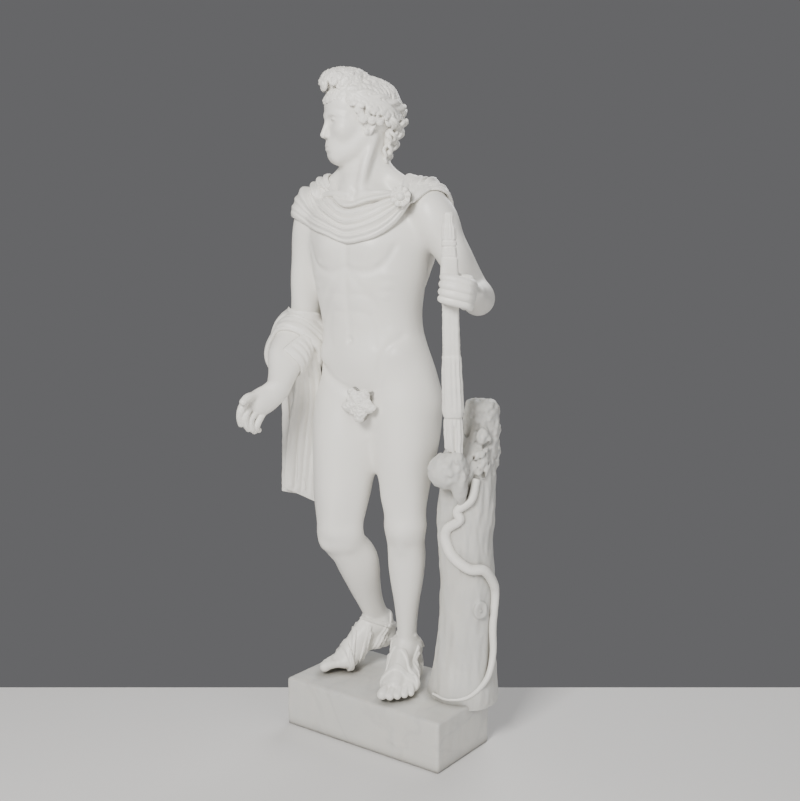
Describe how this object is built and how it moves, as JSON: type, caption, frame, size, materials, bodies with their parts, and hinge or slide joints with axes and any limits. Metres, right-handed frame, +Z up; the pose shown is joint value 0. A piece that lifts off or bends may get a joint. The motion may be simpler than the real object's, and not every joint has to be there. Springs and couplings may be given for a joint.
{
  "type": "garden statue",
  "caption": "Life-size marble statue of a young god in a short cloak, holding a bow that stands on a tree trunk with a snake round it.",
  "frame": {"origin": "middle of the plinth's underside", "axes": "+Z up, the plinth's long front face looks along -Y, and +X is towards the figure's own left side, where the tree trunk stands"},
  "size_m": [0.6819, 0.4913, 1.806],
  "materials": {
    "marble": "satin"
  },
  "bodies": {
    "root": {"statue": "marble"}
  },
  "joints": []
}
